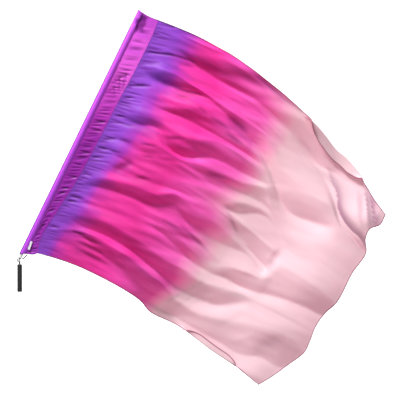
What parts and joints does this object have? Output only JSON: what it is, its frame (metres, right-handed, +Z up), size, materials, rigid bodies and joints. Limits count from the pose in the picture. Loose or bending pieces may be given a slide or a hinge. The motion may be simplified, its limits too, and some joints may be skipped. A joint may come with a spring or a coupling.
{
  "type": "worship flag with pole",
  "caption": "Silk worship flag on a slim white pole, flying to one side in soft folds, dyed from violet through magenta to pale pink, with a sewn pole sleeve, a swivel and a short black grip.",
  "frame": {"origin": "middle of the grip, on its axis", "axes": "+X the way the cloth flies, +Y away from the viewer, square to the spread of the cloth, +Z up along the grip"},
  "size_m": [1.1411, 0.1053, 1.1614],
  "materials": {
    "panel_silk": "thin glossy silk, dyed violet at the seam, magenta in the middle and pale pink at the fly",
    "sleeve_silk": "doubled glossy silk, dyed purple and magenta",
    "white_tape": "plain white woven tape, bare",
    "black_elastic": "braided black elastic",
    "white_rod": "smooth white",
    "bright_metal": "satin",
    "white_bead": "smooth white",
    "dark_metal": "dark, satin",
    "black_grip": "matt black"
  },
  "bodies": {
    "root": {"flag_panel": "panel_silk", "pole_sleeve": "sleeve_silk", "label_tab": "white_tape", "elastic_keeper": "black_elastic", "pole_rod": "white_rod", "rod_collar": "bright_metal", "swivel_bead": "white_bead", "swivel_yoke": "dark_metal", "swivel_stem": "black_grip", "pole_grip": "black_grip"}
  },
  "joints": []
}
